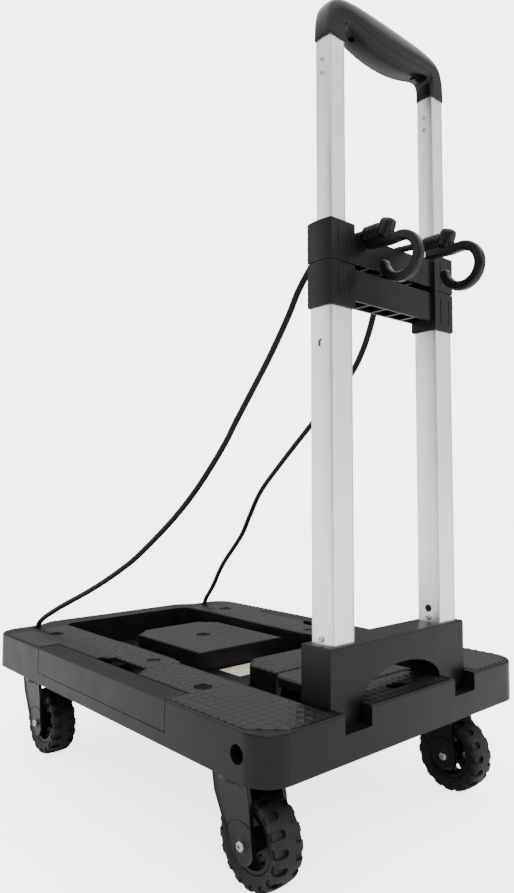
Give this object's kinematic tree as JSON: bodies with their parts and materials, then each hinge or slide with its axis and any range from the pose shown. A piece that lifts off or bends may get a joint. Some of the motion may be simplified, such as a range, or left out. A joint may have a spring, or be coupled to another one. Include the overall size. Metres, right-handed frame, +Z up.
{
  "type": "folding platform cart",
  "caption": "Folding platform cart: moulded deck on swivel casters, telescopic folding handle, pull-out side extensions and elastic cords with hooks.",
  "frame": {"origin": "on the floor, under the centre of the deck", "axes": "+X across the deck to the right as seen from behind the handle, +Y from the handle towards the far end, +Z up"},
  "size_m": [0.4, 0.658, 0.854],
  "materials": {
    "deck_plastic": "satin black moulding, textured on top",
    "handle_plastic": "satin black moulding",
    "caster_plastic": "satin black moulding",
    "tyre_rubber": "matt black rubber",
    "tube_aluminium": "satin anodised",
    "grip_plastic": "semi-gloss black",
    "zinc_steel": "zinc plated",
    "hook_plastic": "satin black moulding",
    "cord_braid": "black woven cover over elastic",
    "label_film": "blank cream label film"
  },
  "bodies": {
    "deck": {"deck": "deck_plastic", "lid_pin": "zinc_steel", "hinge_rod": "zinc_steel", "blank_label": "label_film", "caster_plate_rear_left": "zinc_steel", "kingpin_rear_left": "zinc_steel", "caster_plate_rear_right": "zinc_steel", "kingpin_rear_right": "zinc_steel", "caster_plate_front_left": "zinc_steel", "kingpin_front_left": "zinc_steel", "caster_plate_front_right": "zinc_steel", "kingpin_front_right": "zinc_steel", "cord_left": "cord_braid", "cord_knot_left": "cord_braid", "cord_right": "cord_braid", "cord_knot_right": "cord_braid"},
    "lid": {"fold_lid": "deck_plastic"},
    "extension_left": {"extension_left": "deck_plastic"},
    "extension_right": {"extension_right": "deck_plastic"},
    "caster_rear_left": {"fork_rear_left": "caster_plastic", "axle_bolt_rear_left": "zinc_steel"},
    "caster_rear_right": {"fork_rear_right": "caster_plastic", "axle_bolt_rear_right": "zinc_steel"},
    "caster_front_left": {"fork_front_left": "caster_plastic", "axle_bolt_front_left": "zinc_steel"},
    "caster_front_right": {"fork_front_right": "caster_plastic", "axle_bolt_front_right": "zinc_steel"},
    "wheel_rear_left": {"hub_rear_left": "caster_plastic", "tyre_rear_left": "tyre_rubber"},
    "wheel_rear_right": {"hub_rear_right": "caster_plastic", "tyre_rear_right": "tyre_rubber"},
    "wheel_front_left": {"hub_front_left": "caster_plastic", "tyre_front_left": "tyre_rubber"},
    "wheel_front_right": {"hub_front_right": "caster_plastic", "tyre_front_right": "tyre_rubber"},
    "handle": {"handle_base": "handle_plastic", "lower_crossbar": "handle_plastic", "lower_tube_left": "tube_aluminium", "base_screw_left": "zinc_steel", "lower_tube_right": "tube_aluminium", "base_screw_right": "zinc_steel"},
    "middle_stage": {"upper_crossbar": "handle_plastic", "middle_tube_left": "tube_aluminium", "lock_plug_left": "handle_plastic", "hook_left": "hook_plastic", "hook_sleeve_left": "hook_plastic", "hook_screw_left": "zinc_steel", "middle_tube_right": "tube_aluminium", "lock_plug_right": "handle_plastic", "hook_right": "hook_plastic", "hook_sleeve_right": "hook_plastic", "hook_screw_right": "zinc_steel"},
    "upper_stage": {"grip": "grip_plastic", "upper_tube_left": "tube_aluminium", "stop_plug_left": "handle_plastic", "grip_screw_left": "zinc_steel", "upper_tube_right": "tube_aluminium", "stop_plug_right": "handle_plastic", "grip_screw_right": "zinc_steel"}
  },
  "joints": [
    {"name": "handle_fold", "type": "hinge", "parent": "deck", "child": "handle", "pos_m": [0, -0.258, 0.133], "axis": [-1, 0, 0], "range_deg": [0, 82], "deforming": ["cord_left", "cord_right"]},
    {"name": "lid_swing", "type": "hinge", "parent": "deck", "child": "lid", "pos_m": [0, -0.157, 0.1465], "axis": [1, 0, 0], "range_deg": [0, 60.5]},
    {"name": "middle_stage_slide", "type": "slide", "parent": "handle", "child": "middle_stage", "axis": [0, 0, 1], "range_m": [0, 0.272]},
    {"name": "upper_stage_slide", "type": "slide", "parent": "middle_stage", "child": "upper_stage", "axis": [0, 0, 1], "range_m": [-0.185, 0]},
    {"name": "extension_left_slide", "type": "slide", "parent": "deck", "child": "extension_left", "axis": [-1, 0, 0], "range_m": [0, 0.055]},
    {"name": "extension_right_slide", "type": "slide", "parent": "deck", "child": "extension_right", "axis": [1, 0, 0], "range_m": [0, 0.055]},
    {"name": "swivel_rear_left", "type": "hinge", "parent": "deck", "child": "caster_rear_left", "pos_m": [-0.1526, -0.215, 0.1], "axis": [0, 0, 1], "continuous": true},
    {"name": "spin_rear_left", "type": "hinge", "parent": "caster_rear_left", "child": "wheel_rear_left", "pos_m": [-0.1526, -0.2344, 0.042], "axis": [1, 0, 0], "continuous": true},
    {"name": "swivel_rear_right", "type": "hinge", "parent": "deck", "child": "caster_rear_right", "pos_m": [0.1526, -0.215, 0.1], "axis": [0, 0, 1], "continuous": true},
    {"name": "spin_rear_right", "type": "hinge", "parent": "caster_rear_right", "child": "wheel_rear_right", "pos_m": [0.1526, -0.2344, 0.042], "axis": [1, 0, 0], "continuous": true},
    {"name": "swivel_front_left", "type": "hinge", "parent": "deck", "child": "caster_front_left", "pos_m": [-0.1526, 0.216, 0.1], "axis": [0, 0, 1], "continuous": true},
    {"name": "spin_front_left", "type": "hinge", "parent": "caster_front_left", "child": "wheel_front_left", "pos_m": [-0.1526, 0.1966, 0.042], "axis": [1, 0, 0], "continuous": true},
    {"name": "swivel_front_right", "type": "hinge", "parent": "deck", "child": "caster_front_right", "pos_m": [0.1526, 0.216, 0.1], "axis": [0, 0, 1], "continuous": true},
    {"name": "spin_front_right", "type": "hinge", "parent": "caster_front_right", "child": "wheel_front_right", "pos_m": [0.1526, 0.1966, 0.042], "axis": [1, 0, 0], "continuous": true}
  ],
  "couplings": [
    {"joint": "lid_swing", "follows": "handle_fold", "ratio": 0.7317}
  ]
}
